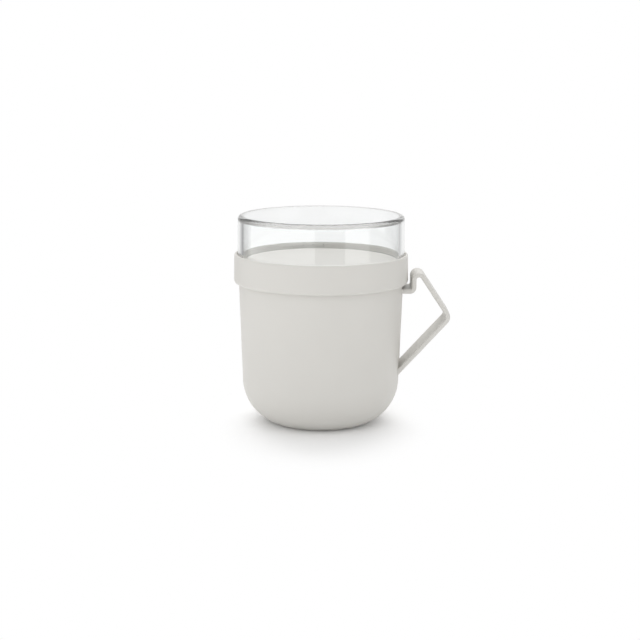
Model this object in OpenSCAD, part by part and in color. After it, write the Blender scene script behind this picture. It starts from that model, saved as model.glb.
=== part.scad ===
// Soup mug with a screw lid and a clear topping cup that screws into the lid.
// The origin is the centre of the standing ring, +Z is up and the handle points along +X.

/* [Mug] */
// Height of the mug's rim above the table
rim_height = 96.5; // [90:0.5:130]
// Outer radius of the wall at the lid's lower edge
body_radius = 50.55; // [46:0.05:60]
// Lean of the wall away from the vertical, in degrees
wall_lean = 2; // [1:0.1:4]
// Thickness of the wall
body_wall = 2.8; // [2.5:0.1:3.2]
// Thickness of the mug's floor above the table
body_floor = 3.2; // [2.6:0.1:6]
// Radius of the rounding between wall and base
base_rounding = 28.5; // [24:0.5:34]
// Depth of that rounding that the flat base cuts off
base_cut = 1.65; // [1:0.05:3]
// Width of the standing ring
foot_width = 4; // [3:0.5:8]
// Height of the hollow inside the standing ring
foot_hollow = 1.2; // [0.6:0.1:1.6]

/* [Neck and its thread] */
// How far the neck stands back from the wall
neck_step = 0.85; // [0.6:0.05:0.9]
// Number of thread ridges on the neck
thread_starts = 3; // [2:1:3]
// Rise of the neck's thread in one turn
thread_lead = 18; // [16:0.5:20]
// Length of each ridge, in degrees
thread_arc = 90; // [60:5:100]
// Height of a ridge above its wall
thread_depth = 0.9; // [0.7:0.05:1]
// Width of a ridge at its root
thread_base = 2; // [1.6:0.1:2.2]
// Width of a ridge at its crest
thread_crest = 0.9; // [0.6:0.1:1.1]
// Space between a ridge and the wall that it faces
thread_play = 0.3; // [0.25:0.05:0.5]
// Space between the ridges of the neck and of the lid
thread_gap = 0.35; // [0.25:0.05:0.6]
// Drop from the rim to the middle of the neck's highest ridge end
thread_drop = 1.9; // [1.8:0.1:2.2]

/* [Lid] */
// Height of the lid's wall
lid_height = 18; // [17:0.5:24]
// Length of the lid's skirt below the rim
lid_overlap = 9.5; // [9.5:0.5:14]
// Thickness of the skirt at its lower edge
lid_wall = 2.7; // [2.7:0.1:4]
// Lean of the lid's outer face, in degrees
lid_lean = 0.9; // [0:0.1:1.2]
// Radius of the skirt's lower outer edge
lid_edge = 2; // [1:0.1:2.4]
// Thickness of the lid's middle panel
panel_thickness = 2; // [1.6:0.1:2.4]
// Depth of the panel's upper face below the lid's top edge
panel_depth = 3.7; // [3.5:0.1:4.5]
// Depth of the cup's channel below the panel's upper face
channel_depth = 1.1; // [1:0.05:1.3]
// Thickness of the ring that centres the lid in the mouth
plug_thickness = 1.4; // [1:0.1:2]
// Length of that ring below the rim
plug_length = 2.5; // [1:0.5:6]
// Space between that ring and the mouth
plug_play = 1.1; // [0.5:0.1:1.5]

/* [Seals] */
// Thickness of the lid's seal
lid_seal_height = 1.9; // [1.6:0.1:2.2]
// Depth of the groove that holds the lid's seal
lid_seal_grip = 0.7; // [0.5:0.1:1]
// Overhang of the lid's seal past the neck
lid_seal_reach = 0.2; // [0.1:0.05:0.3]
// Thickness of the cup's seal
cup_seal_height = 0.8; // [0.6:0.05:0.9]
// Space at each side of a seal
seal_play = 0.15; // [0.1:0.05:0.2]

/* [Clear cup] */
// Height of the clear cup above the lid
cup_rise = 23.6; // [15:0.2:50]
// Outer radius of the clear cup at the lid's top edge, less the mug's wall radius
cup_spread = 0.75; // [0.7:0.05:1.1]
// Lean of the clear cup's wall, in degrees
cup_lean = 0.6; // [0.5:0.1:3]
// Thickness of the clear cup's wall
cup_wall = 3.4; // [2:0.1:3.6]
// Thickness of the clear cup's flat top
cup_top = 3.2; // [2:0.1:4]
// Radius of the clear cup's outer edge
cup_edge = 2.4; // [1:0.1:3]
// Radius of the clear cup's inner edge
cup_inner_edge = 0.3; // [0.3:0.1:2]
// How far the cup's foot stands back from its wall
cup_foot_step = 0.5; // [0.3:0.05:0.5]
// Rise of the cup's thread in one turn
cup_thread_lead = 9; // [8:0.5:9.5]
// Length of each of the cup's ridges, in degrees
cup_thread_arc = 40; // [30:5:40]
// Height of the cup's ridges above their wall
cup_thread_depth = 0.9; // [0.7:0.05:1]
// Width of the cup's ridges at their root
cup_thread_base = 1.3; // [1.1:0.05:1.35]
// Width of the cup's ridges at their crest
cup_thread_crest = 0.6; // [0.4:0.05:0.7]
// Space between the ridges of the cup and of the lid
cup_thread_gap = 0.2; // [0.15:0.05:0.25]

/* [Handle] */
// Thickness of the handle's band
band_thickness = 2.8; // [2.4:0.1:3.4]
// Width of the handle's band
band_width = 22.5; // [12:0.5:24]
// Radius of the band's long edges
band_edge = 0.9; // [0.5:0.1:1.1]
// Drop from the lid's lower edge to the middle of the upper tab
tab_drop = 4.1; // [3:0.1:6]
// Space between the lid and the handle's upright
upright_gap = 1.85; // [1:0.05:4]
// Height of the upright from the tab to the start of the crook
upright_rise = 7.1; // [5:0.1:10]
// Radius of the bend between tab and upright
tab_bend = 2.4; // [2:0.1:3]
// Radius of the crook at the top
crook_bend = 3; // [2.4:0.05:4]
// Radius of the outer corner
corner_bend = 4.3; // [2:0.1:5]
// Reach of the outer corner beyond the upright
handle_reach = 22.1; // [18:0.05:32]
// Angle of the upper arm from the vertical
upper_arm_lean = 33.5; // [26:0.25:40]
// How far the band's ends reach in behind the mug's wall, before they are cut to its surface
band_reach_in = 2.5; // [1:0.5:3]
// Angle of the lower arm from the vertical
lower_arm_lean = 42.5; // [38:0.1:50]

/* [Hidden] */
$fn = 96;
overrun = 1;

light_grey = [0.83, 0.825, 0.805];
seal_grey = [0.72, 0.72, 0.71];
clear = [0.93, 0.95, 0.95, 0.35];

// Ridge steps, how deep a ridge's root is sunk in its wall, and its run-out at both ends
ridge_steps = 20;
ridge_root = 0.3;
ridge_runout_steps = 4;
ridge_end_share = 0.12;

// Lip roundings that only soften an edge
rim_edge = 0.8;
shoulder_lift = 1;
crest_edge = 1.1;

// Heights, from the table up
lid_bottom = rim_height - lid_overlap;
lid_top = lid_bottom + lid_height;
panel_top = lid_top - panel_depth;
channel_floor = panel_top - channel_depth;
seal_top = rim_height + lid_seal_height;
ledge_bottom = seal_top - lid_seal_grip;
cup_foot = channel_floor + cup_seal_height;
cup_crown = lid_top + cup_rise;
shoulder = lid_bottom + shoulder_lift;

// Radii of the mug
function wall_radius(z) = body_radius + (z - lid_bottom) * tan(wall_lean);
wall_across = body_wall / cos(wall_lean);
mouth_radius = wall_radius(rim_height) - wall_across;
neck_radius = body_radius - neck_step;
round_z = base_rounding - base_cut;
round_x = wall_radius(round_z) - base_rounding / cos(wall_lean);
base_radius = round_x + sqrt(pow(base_rounding, 2) - pow(round_z, 2));
inner_rounding = base_rounding - body_wall;
inner_base_radius = round_x + sqrt(pow(inner_rounding, 2) - pow(round_z - body_floor, 2));

// Radii of the lid
skirt_inner = neck_radius + thread_depth + thread_play;
lid_radius = skirt_inner + lid_wall;
plug_radius = mouth_radius - plug_play;
plug_inner = plug_radius - plug_thickness;
lid_seal_inner = plug_radius + seal_play;
lid_seal_outer = neck_radius + lid_seal_reach;

// Radii of the clear cup
cup_radius = body_radius + cup_spread;
cup_foot_radius = cup_radius - cup_foot_step;
cup_across = cup_wall / cos(cup_lean);
cup_foot_inner = cup_radius - cup_across + (lid_top - cup_foot) * tan(cup_lean);
collar_inner = cup_foot_radius + cup_thread_depth + thread_play;
panel_radius = cup_foot_inner - cup_foot_step;

// Middle heights of the first end of each ridge
function flank(base, crest, depth) = (base + crest) / 2 - (base - crest) / 2 * thread_play / depth;
neck_ridge_z = rim_height - thread_drop - thread_lead * thread_arc / 360;
lid_ridge_z = neck_ridge_z - flank(thread_base, thread_crest, thread_depth) - thread_gap;
cup_ridge_z = cup_foot + cup_thread_base / 2 + seal_play;
cup_flank = flank(cup_thread_base, cup_thread_crest, cup_thread_depth);
collar_ridge_z = cup_ridge_z + cup_flank + cup_thread_gap;

// Centre of the rounding of a wall's edge, where the wall leans inwards from radius foot at height
// low, and the point where the rounding meets that wall
function edge_centre(foot, low, z, lean, edge) =
    [foot - (z - low) * tan(lean) - edge / cos(lean), z];
function edge_tangent(centre, lean, edge) = centre + edge * [cos(lean), sin(lean)];

// Share of a ridge's full height at step i, so that each ridge runs out at its ends
function runout_share(i) =
    max(ridge_end_share, min(1, i / ridge_runout_steps, (ridge_steps - i) / ridge_runout_steps));

// Corners of one cross-section of a ridge: side is 1 for a ridge outside a wall, -1 for one inside
function ridge_section(wall, side, depth, base, crest, lead, arc, i) =
    let (
        turn = arc * i / ridge_steps,
        z = lead * turn / 360,
        root = wall - side * ridge_root,
        tip = wall + side * depth * runout_share(i),
        along = [cos(turn), sin(turn)]
    )
    [
        [root * along.x, root * along.y, z - base / 2],
        [tip * along.x, tip * along.y, z - crest / 2],
        [tip * along.x, tip * along.y, z + crest / 2],
        [root * along.x, root * along.y, z + base / 2]
    ];

// Triangles of a tube of sections, each of count points, closed at both ends
function tube_faces(sections, count) = [
    for (i = [0:sections - 2], j = [0:count - 1])
        let (a = i * count + j, b = i * count + (j + 1) % count, c = a + count, d = b + count)
        each [[a, b, c], [b, d, c]],
    for (j = [1:count - 2]) [0, j + 1, j],
    for (j = [1:count - 2]) let (last = (sections - 1) * count) [last, last + j, last + j + 1]
];

function turned(faces, side) = side > 0 ? faces : [for (f = faces) [f[0], f[2], f[1]]];

// A set of helical ridges on a round wall
module ridges(wall, side, depth, base, crest, lead, arc, z) {
    points = [
        for (i = [0:ridge_steps])
            each ridge_section(wall, side, depth, base, crest, lead, arc, i)
    ];
    for (k = [0:thread_starts - 1])
        translate([0, 0, z]) rotate(k * 360 / thread_starts)
            polyhedron(points, turned(tube_faces(ridge_steps + 1, 4), side));
}

// The mug

// Half section of the mug as if it were solid, up to height top
module mug_outline(top) {
    tangent = [round_x + base_rounding * cos(wall_lean), round_z - base_rounding * sin(wall_lean)];
    intersection() {
        translate([round_x, round_z]) circle(base_rounding);
        square([body_radius, round_z]);
    }
    polygon([
        [0, 0], [base_radius, 0], [round_x, round_z], tangent, [wall_radius(top), top], [0, top]
    ]);
}

// Half section of the space inside the mug
module mug_space() {
    tangent = [round_x + inner_rounding * cos(wall_lean), round_z - inner_rounding * sin(wall_lean)];
    over = rim_height + overrun;
    intersection() {
        translate([round_x, round_z]) circle(inner_rounding);
        translate([0, body_floor]) square([body_radius, round_z - body_floor]);
    }
    polygon([
        [0, body_floor], [inner_base_radius, body_floor], [round_x, round_z], tangent,
        [wall_radius(over) - wall_across, over], [0, over]
    ]);
}

// Half section of the neck, with its rounded rim
module neck_outline() {
    edge = [neck_radius - rim_edge, rim_height - rim_edge];
    polygon([
        [0, lid_bottom], [neck_radius, lid_bottom], [neck_radius, edge.y], edge,
        [edge.x, rim_height], [0, rim_height]
    ]);
    translate(edge) circle(rim_edge);
}

module mug_body() {
    color(light_grey) {
        rotate_extrude() difference() {
            union() {
                mug_outline(shoulder);
                neck_outline();
            }
            mug_space();
            square([base_radius - foot_width, foot_hollow]);
        }
        ridges(neck_radius, 1, thread_depth, thread_base, thread_crest,
            thread_lead, thread_arc, neck_ridge_z);
    }
}

// The handle

upright_x = lid_radius + upright_gap + band_thickness / 2;
tab_z = lid_bottom - tab_drop;
crook_z = tab_z + upright_rise + crook_bend / tan(upper_arm_lean / 2);
corner_z = crook_z - handle_reach / tan(upper_arm_lean);
arm_root_x = body_radius - neck_step - body_wall - band_reach_in;
arm_run = (upright_x + handle_reach - arm_root_x) / tan(lower_arm_lean);

// Corners of the band's middle line, from the tab to the lower end, and the bend at each
band_corners = [
    [arm_root_x, tab_z],
    [upright_x, tab_z],
    [upright_x, crook_z],
    [upright_x + handle_reach, corner_z],
    [arm_root_x, corner_z - arm_run]
];
band_bends = [tab_bend, crook_bend, corner_bend];
band_bend_step = 8;
band_edge_steps = 4;

function heading(a, b) = atan2(b.y - a.y, b.x - a.x);
function half_turn(a) = a > 180 ? a - 360 : a < -180 ? a + 360 : a;
function unit(a) = [cos(a), sin(a)];

// Stations [x, z, heading] round the bend at corner k of the band
function bend_stations(k) =
    let (
        from = heading(band_corners[k - 1], band_corners[k]),
        turn = half_turn(heading(band_corners[k], band_corners[k + 1]) - from),
        side = turn > 0 ? 1 : -1,
        radius = band_bends[k - 1],
        start = band_corners[k] - radius * tan(abs(turn) / 2) * unit(from),
        centre = start + side * radius * unit(from + 90),
        steps = ceil(abs(turn) / band_bend_step)
    )
    [
        for (i = [0:steps])
            let (a = from + turn * i / steps, p = centre - side * radius * unit(a + 90))
            [p.x, p.y, a]
    ];

function end_station(p, a) = [p.x, p.y, a];
band_stations = [
    end_station(band_corners[0], heading(band_corners[0], band_corners[1])),
    each bend_stations(1),
    each bend_stations(2),
    each bend_stations(3),
    end_station(band_corners[4], heading(band_corners[3], band_corners[4]))
];

// Outline of the band's cross-section: [across the thickness, along the width]
band_outline = [
    for (q = [0:3], i = [0:band_edge_steps])
        let (
            a = 90 * q + 90 * i / band_edge_steps,
            out = [q == 0 || q == 3 ? 1 : -1, q < 2 ? 1 : -1]
        )
        [
            out.x * (band_thickness / 2 - band_edge) + band_edge * cos(a),
            out.y * (band_width / 2 - band_edge) + band_edge * sin(a)
        ]
];

module handle() {
    count = len(band_outline);
    points = [
        for (s = band_stations, q = band_outline)
            let (n = unit(s[2] + 90))
            [s[0] + q.x * n.x, -q.y, s[1] + q.x * n.y]
    ];
    color(light_grey) difference() {
        polyhedron(points, tube_faces(len(band_stations), count));
        rotate_extrude() mug_outline(shoulder);
    }
}

// The lid: a skirt, a ledge over the rim, a panel, and a collar that holds the clear cup

// Half section of the lid's outer shape, with its rounded lower edge and crest
module lid_outline() {
    lower = edge_centre(lid_radius, lid_bottom, lid_bottom + lid_edge, lid_lean, lid_edge);
    upper = edge_centre(lid_radius, lid_bottom, lid_top - crest_edge, lid_lean, crest_edge);
    polygon([
        [0, lid_bottom], [lower.x, lid_bottom], lower, edge_tangent(lower, lid_lean, lid_edge),
        edge_tangent(upper, lid_lean, crest_edge), upper, [upper.x, lid_top], [0, lid_top]
    ]);
    translate(lower) circle(lid_edge);
    translate(upper) circle(crest_edge);
}

module screw_lid() {
    color(light_grey) {
        rotate_extrude() difference() {
            lid_outline();
            // Space that the neck stands in, with the groove of the seal above it
            translate([plug_radius, lid_bottom - overrun])
                square([skirt_inner - plug_radius, ledge_bottom - lid_bottom + overrun]);
            translate([plug_radius, ledge_bottom - overrun])
                square([lid_seal_outer + seal_play - plug_radius, lid_seal_grip + overrun]);
            // Space below the panel, and below the ring that centres the lid
            translate([0, lid_bottom - overrun])
                square([plug_inner, panel_top - panel_thickness - lid_bottom + overrun]);
            translate([plug_inner - overrun, lid_bottom - overrun])
                square([plug_thickness + 2 * overrun, lid_overlap - plug_length + overrun]);
            // Space above the panel and the channel of the clear cup
            translate([0, panel_top])
                square([collar_inner, panel_depth + overrun]);
            translate([panel_radius, channel_floor])
                square([collar_inner - panel_radius, channel_depth + panel_depth + overrun]);
        }
        ridges(skirt_inner, -1, thread_depth, thread_base, thread_crest,
            thread_lead, thread_arc, lid_ridge_z);
        ridges(collar_inner, -1, cup_thread_depth, cup_thread_base, cup_thread_crest,
            cup_thread_lead, cup_thread_arc, collar_ridge_z);
    }
}

// The seals

module lid_seal() {
    color(seal_grey) rotate_extrude()
        translate([lid_seal_inner, rim_height])
            square([lid_seal_outer - lid_seal_inner, lid_seal_height]);
}

module cup_seal() {
    color(seal_grey) rotate_extrude()
        translate([panel_radius + seal_play, channel_floor])
            square([cup_foot_radius - panel_radius - seal_play, cup_seal_height]);
}

// The clear cup, which stands upside down in the lid

// Half section of a leaning cup from height low to height high with a rounded upper edge
module cup_shape(low_radius, low, high, edge) {
    centre = edge_centre(low_radius, low, high - edge, cup_lean, edge);
    polygon([
        [0, low], [low_radius, low], edge_tangent(centre, cup_lean, edge), centre,
        [centre.x, high], [0, high]
    ]);
    translate(centre) circle(edge);
}

module clear_cup() {
    color(clear) {
        rotate_extrude() difference() {
            union() {
                cup_shape(cup_radius, lid_top, cup_crown, cup_edge);
                translate([0, cup_foot]) square([cup_foot_radius, lid_top - cup_foot]);
            }
            cup_shape(cup_foot_inner + overrun * tan(cup_lean), cup_foot - overrun,
                cup_crown - cup_top, cup_inner_edge);
        }
        ridges(cup_foot_radius, 1, cup_thread_depth, cup_thread_base, cup_thread_crest,
            cup_thread_lead, cup_thread_arc, cup_ridge_z);
    }
}

mug_body();
handle();
screw_lid();
lid_seal();
clear_cup();
cup_seal();
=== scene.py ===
"""Looks of the soup mug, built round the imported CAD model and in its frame.

The mug is a light-grey moulded cup with a pointed band handle, closed by a screw lid. A low clear cup
stands upside down in the lid and holds the toppings. Lengths of the pieces are millimetres, and each
mesh is scaled to metres as it is made. Lengths of the studio are metres.
"""
from __future__ import annotations

import logging
import math
from dataclasses import dataclass, field
from enum import Enum

import bmesh
import bpy
from mathutils import Matrix, Vector


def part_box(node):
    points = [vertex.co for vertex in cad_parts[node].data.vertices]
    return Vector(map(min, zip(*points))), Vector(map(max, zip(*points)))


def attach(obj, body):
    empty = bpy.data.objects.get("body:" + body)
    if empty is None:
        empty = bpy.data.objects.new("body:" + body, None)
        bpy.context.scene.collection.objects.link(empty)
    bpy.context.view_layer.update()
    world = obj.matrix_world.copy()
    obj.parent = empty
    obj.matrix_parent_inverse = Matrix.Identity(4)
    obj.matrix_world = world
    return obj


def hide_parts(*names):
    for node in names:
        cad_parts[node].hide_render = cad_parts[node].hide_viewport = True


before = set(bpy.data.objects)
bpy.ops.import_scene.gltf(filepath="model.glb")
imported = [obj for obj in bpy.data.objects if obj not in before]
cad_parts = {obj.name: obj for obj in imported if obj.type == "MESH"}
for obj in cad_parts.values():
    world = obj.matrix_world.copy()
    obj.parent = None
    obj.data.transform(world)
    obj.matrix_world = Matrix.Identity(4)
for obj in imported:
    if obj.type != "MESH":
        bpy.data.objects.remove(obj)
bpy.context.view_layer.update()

LOG = logging.getLogger("soup_mug")
MM = 0.001
Colour = tuple[float, float, float]
WHITE = (1.0, 1.0, 1.0, 1.0)

# Faces round the axis of a turned piece
ROUND_FACES = 192

# Distance in metres below which two points of a turned piece are one
SAME_PLACE = 1e-6

# Weighted Normal's neutral weight, at which faces count by their plain areas
NEUTRAL_WEIGHT = 50

# Depths of a ray are whole numbers, so a depth below this is none
NO_DEPTH = 0.5

# The display curve: its white, where its straight part ends, that part's slope, its offset and power
DISPLAY_WHITE = 255.0
DISPLAY_KNEE = 0.04045
DISPLAY_SLOPE = 12.92
DISPLAY_OFFSET = 0.055
DISPLAY_POWER = 2.4


class Body(Enum):
    """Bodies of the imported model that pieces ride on."""

    MUG = "mug"
    LID_SEAL = "lid_seal"
    LID = "lid"
    CUP_SEAL = "cup_seal"
    TOPPING_CUP = "topping_cup"


class Slot(Enum):
    """Material slots of the record."""

    MUG = "mug_plastic"
    LID = "lid_plastic"
    SEAL = "seal_silicone"
    CLEAR = "clear_plastic"


class Side(Enum):
    """Side of a round wall that a screw thread stands on, as a sign along the radius."""

    OUTER = 1
    INNER = -1


class Way(Enum):
    """Which way the handle's band heads, out from the mug or back to it, as a sign."""

    OUT = 1
    BACK = -1


class Input(Enum):
    """Kinds of input that a Geometry Nodes tree takes."""

    COUNT = "NodeSocketInt"
    NUMBER = "NodeSocketFloat"
    MATERIAL = "NodeSocketMaterial"


class Mix(Enum):
    """What a mixing node mixes: Blender's name, the place of the first input and of the result."""

    NUMBERS = ("FLOAT", 2, 0)
    COLOURS = ("RGBA", 6, 2)


def low_of(node: str) -> float:
    """Return the lowest height of a CAD node at rest, in millimetres."""
    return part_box(node)[0][2] / MM


def high_of(node: str) -> float:
    """Return the greatest height of a CAD node at rest, in millimetres."""
    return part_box(node)[1][2] / MM


def reach_of(node: str) -> float:
    """Return how far a CAD node reaches along X at rest, in millimetres."""
    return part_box(node)[1][0] / MM


def light_of(level: float) -> float:
    """Return the light that a display level stands for.

    Args:
        level: Display level of one channel, 0 to 255.

    Returns:
        The channel's linear light, 0 to 1.
    """
    share = level / DISPLAY_WHITE
    if share <= DISPLAY_KNEE:
        return share / DISPLAY_SLOPE
    return ((share + DISPLAY_OFFSET) / (1 + DISPLAY_OFFSET)) ** DISPLAY_POWER


def linear(colour: Colour, kept: float = 1.0) -> tuple[float, float, float, float]:
    """Return a display colour as linear red, green, blue and alpha.

    Args:
        colour: Display levels of red, green and blue, 0 to 255.
        kept: Share of each level that is kept.

    Returns:
        The linear colour, for a node's socket.
    """
    red, green, blue = (light_of(kept * level) for level in colour)
    return red, green, blue, 1.0


class Graph:
    """A node tree that is filled by short calls.

    Attributes:
        tree: The Blender node tree.
    """

    def __init__(self, tree: bpy.types.NodeTree) -> None:
        """Start on a tree and take its ready-made nodes away."""
        self.tree = tree
        tree.nodes.clear()

    def add(self, kind: str, inputs: dict | None = None, **settings: object) -> bpy.types.Node:
        """Add a node.

        Args:
            kind: Blender's name of the node type.
            inputs: For each input, by name or place, a value or the socket that feeds it.
            **settings: The node's own properties.

        Returns:
            The new node.
        """
        node = self.tree.nodes.new(kind)
        for name, value in settings.items():
            setattr(node, name, value)
        for key, value in (inputs or {}).items():
            socket = node.inputs[key]
            if isinstance(value, bpy.types.NodeSocket):
                self.tree.links.new(value, socket)
            else:
                socket.default_value = value
        return node

    def result(self, kind: str, inputs: dict | None = None, **settings: object) -> bpy.types.NodeSocket:
        """Add a node, as add does, and return its first output."""
        return self.add(kind, inputs, **settings).outputs[0]

    def math(self, operation: str, *values: object) -> bpy.types.NodeSocket:
        """Return the result of an operation on one, two or three values or sockets."""
        return self.result("ShaderNodeMath", dict(enumerate(values)), operation=operation)

    def mix(
        self, kind: Mix, share: bpy.types.NodeSocket, low: object, high: object
    ) -> bpy.types.NodeSocket:
        """Mix two numbers or two colours.

        Args:
            kind: What is mixed.
            share: The socket that is 0 for the first and 1 for the second.
            low: The first value or socket.
            high: The second value or socket.

        Returns:
            The socket of the mixed value.
        """
        data_type, first, result = kind.value
        node = self.add("ShaderNodeMix", {0: share, first: low, first + 1: high}, data_type=data_type)
        return node.outputs[result]

    def ramp(
        self,
        value: bpy.types.NodeSocket,
        given: tuple[float, float],
        wanted: tuple[object, object],
        **settings: object,
    ) -> bpy.types.NodeSocket:
        """Let a level change from one end to the other while a value does.

        Args:
            value: The socket that is read.
            given: The two ends of the value.
            wanted: The two ends of the level, as numbers or sockets.
            **settings: The node's own properties.

        Returns:
            The socket of the level.
        """
        ends = {"From Min": given[0], "From Max": given[1], "To Min": wanted[0], "To Max": wanted[1]}
        return self.result("ShaderNodeMapRange", {"Value": value, **ends}, **settings)

    def around(self, pattern: bpy.types.NodeSocket, middle: float, reach: float) -> bpy.types.NodeSocket:
        """Return a level that a pattern of 0 to 1 moves up and down by a reach from its middle."""
        return self.ramp(pattern, (0.0, 1.0), (middle - reach, middle + reach))

    def coordinates(self) -> bpy.types.NodeSocket:
        """Return the socket of the object coordinates."""
        return self.add("ShaderNodeTexCoord").outputs["Object"]

    def noise(self, spot: bpy.types.NodeSocket, size: float, layers: float) -> bpy.types.NodeSocket:
        """Make a soft random pattern.

        Args:
            spot: The socket of the coordinates that it follows.
            size: Size of its patches, in millimetres.
            layers: Number of finer layers in it.

        Returns:
            The socket of the pattern, about 0 to 1.
        """
        scale = 1 / (size * MM)
        return self.result("ShaderNodeTexNoise", {"Vector": spot, "Scale": scale, "Detail": layers})

    def bump(self, pattern: bpy.types.NodeSocket, relief: float, strength: float) -> bpy.types.NodeSocket:
        """Turn a pattern into relief.

        Args:
            pattern: The socket of the pattern.
            relief: Height of the relief, in millimetres.
            strength: How much of the relief shows.

        Returns:
            The socket of the surface's normal.
        """
        inputs = {"Height": pattern, "Distance": relief * MM, "Strength": strength}
        return self.result("ShaderNodeBump", inputs)

    def skin(
        self,
        colour: bpy.types.NodeSocket,
        roughness: bpy.types.NodeSocket,
        normal: bpy.types.NodeSocket,
        ior: float,
    ) -> None:
        """End a material's tree with an opaque surface.

        Args:
            colour: The socket of the colour.
            roughness: The socket of the roughness.
            normal: The socket of the normal.
            ior: Index of refraction.
        """
        inputs = {"Base Color": colour, "Roughness": roughness, "Normal": normal, "IOR": ior}
        shader = self.result("ShaderNodeBsdfPrincipled", inputs)
        self.add("ShaderNodeOutputMaterial", {"Surface": shader})


def new_material(name: str) -> tuple[bpy.types.Material, Graph]:
    """Make a material.

    Args:
        name: The material's name.

    Returns:
        The material and its empty node tree.
    """
    made = bpy.data.materials.new(name)
    made.use_nodes = True
    return made, Graph(made.node_tree)


def new_object(name: str, data: bpy.types.ID) -> bpy.types.Object:
    """Make an object and link it to the scene.

    Args:
        name: The object's name.
        data: Its mesh, lamp or camera.

    Returns:
        The new object.
    """
    made = bpy.data.objects.new(name, data)
    bpy.context.scene.collection.objects.link(made)
    return made


class Recipe(Graph):
    """A Geometry Nodes tree with named inputs, which turns one object's mesh into another.

    Attributes:
        entry: The node that gives the tree's inputs.
    """

    def __init__(self, name: str) -> None:
        """Start an empty tree with a geometry input and a geometry output.

        Args:
            name: The tree's name.
        """
        super().__init__(bpy.data.node_groups.new(name, "GeometryNodeTree"))
        for direction in ("OUTPUT", "INPUT"):
            self.tree.interface.new_socket("Geometry", in_out=direction, socket_type="NodeSocketGeometry")
        self.entry = self.tree.nodes.new("NodeGroupInput")

    def takes(self, name: str, kind: Input) -> bpy.types.NodeSocket:
        """Add a named input of a kind and return the socket that gives it."""
        self.tree.interface.new_socket(name, in_out="INPUT", socket_type=kind.value)
        return self.entry.outputs[name]

    def gives(self, geometry: bpy.types.NodeSocket, material: bpy.types.NodeSocket) -> None:
        """End the tree: instances realised, faces smooth and the material set.

        Args:
            geometry: The socket of the finished geometry.
            material: The socket of its material.
        """
        real = self.result("GeometryNodeRealizeInstances", {"Geometry": geometry})
        smooth = self.result("GeometryNodeSetShadeSmooth", {"Geometry": real})
        dressed = self.result("GeometryNodeSetMaterial", {"Geometry": smooth, "Material": material})
        self.add("NodeGroupOutput", {0: dressed})

    def apply(self, piece: bpy.types.Object, values: dict[str, object]) -> None:
        """Put the tree on a piece as a modifier.

        Args:
            piece: The object whose mesh the tree starts from.
            values: The tree's inputs, by name.
        """
        modifier = piece.modifiers.new(self.tree.name, "NODES")
        modifier.node_group = self.tree
        for item in self.tree.interface.items_tree:
            if item.in_out == "INPUT" and item.name in values:
                modifier[item.identifier] = values[item.name]


def turning_recipe() -> Recipe:
    """Build the tree that rounds a half section's corners and turns it round the Z axis.

    The section is a line of points whose X is the radius less the path's radius, and whose Y is how
    far they lie down. The point attributes edge and steps hold each corner's rounding and its faces.

    Returns:
        The tree, with the inputs Segments, Path radius and Material.
    """
    recipe = Recipe("Turned piece")
    segments = recipe.takes("Segments", Input.COUNT)
    path_radius = recipe.takes("Path radius", Input.NUMBER)
    material = recipe.takes("Material", Input.MATERIAL)
    edge = recipe.result("GeometryNodeInputNamedAttribute", {"Name": "edge"}, data_type="FLOAT")
    steps = recipe.result("GeometryNodeInputNamedAttribute", {"Name": "steps"}, data_type="INT")
    line = recipe.result("GeometryNodeMeshToCurve", {"Mesh": recipe.entry.outputs["Geometry"]})
    rounding = {"Curve": line, "Count": steps, "Radius": edge, "Limit Radius": False}
    section = recipe.result("GeometryNodeFilletCurve", rounding, mode="POLY")
    ring = {"Resolution": segments, "Radius": path_radius}
    circle = recipe.result("GeometryNodeCurvePrimitiveCircle", ring, mode="RADIUS")
    path = recipe.result("GeometryNodeSetCurveNormal", {"Curve": circle}, mode="Z_UP")
    wall = recipe.result("GeometryNodeCurveToMesh", {"Curve": path, "Profile Curve": section})
    whole = recipe.result("GeometryNodeMergeByDistance", {"Geometry": wall, "Distance": SAME_PLACE})
    recipe.gives(whole, material)
    return recipe


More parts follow.
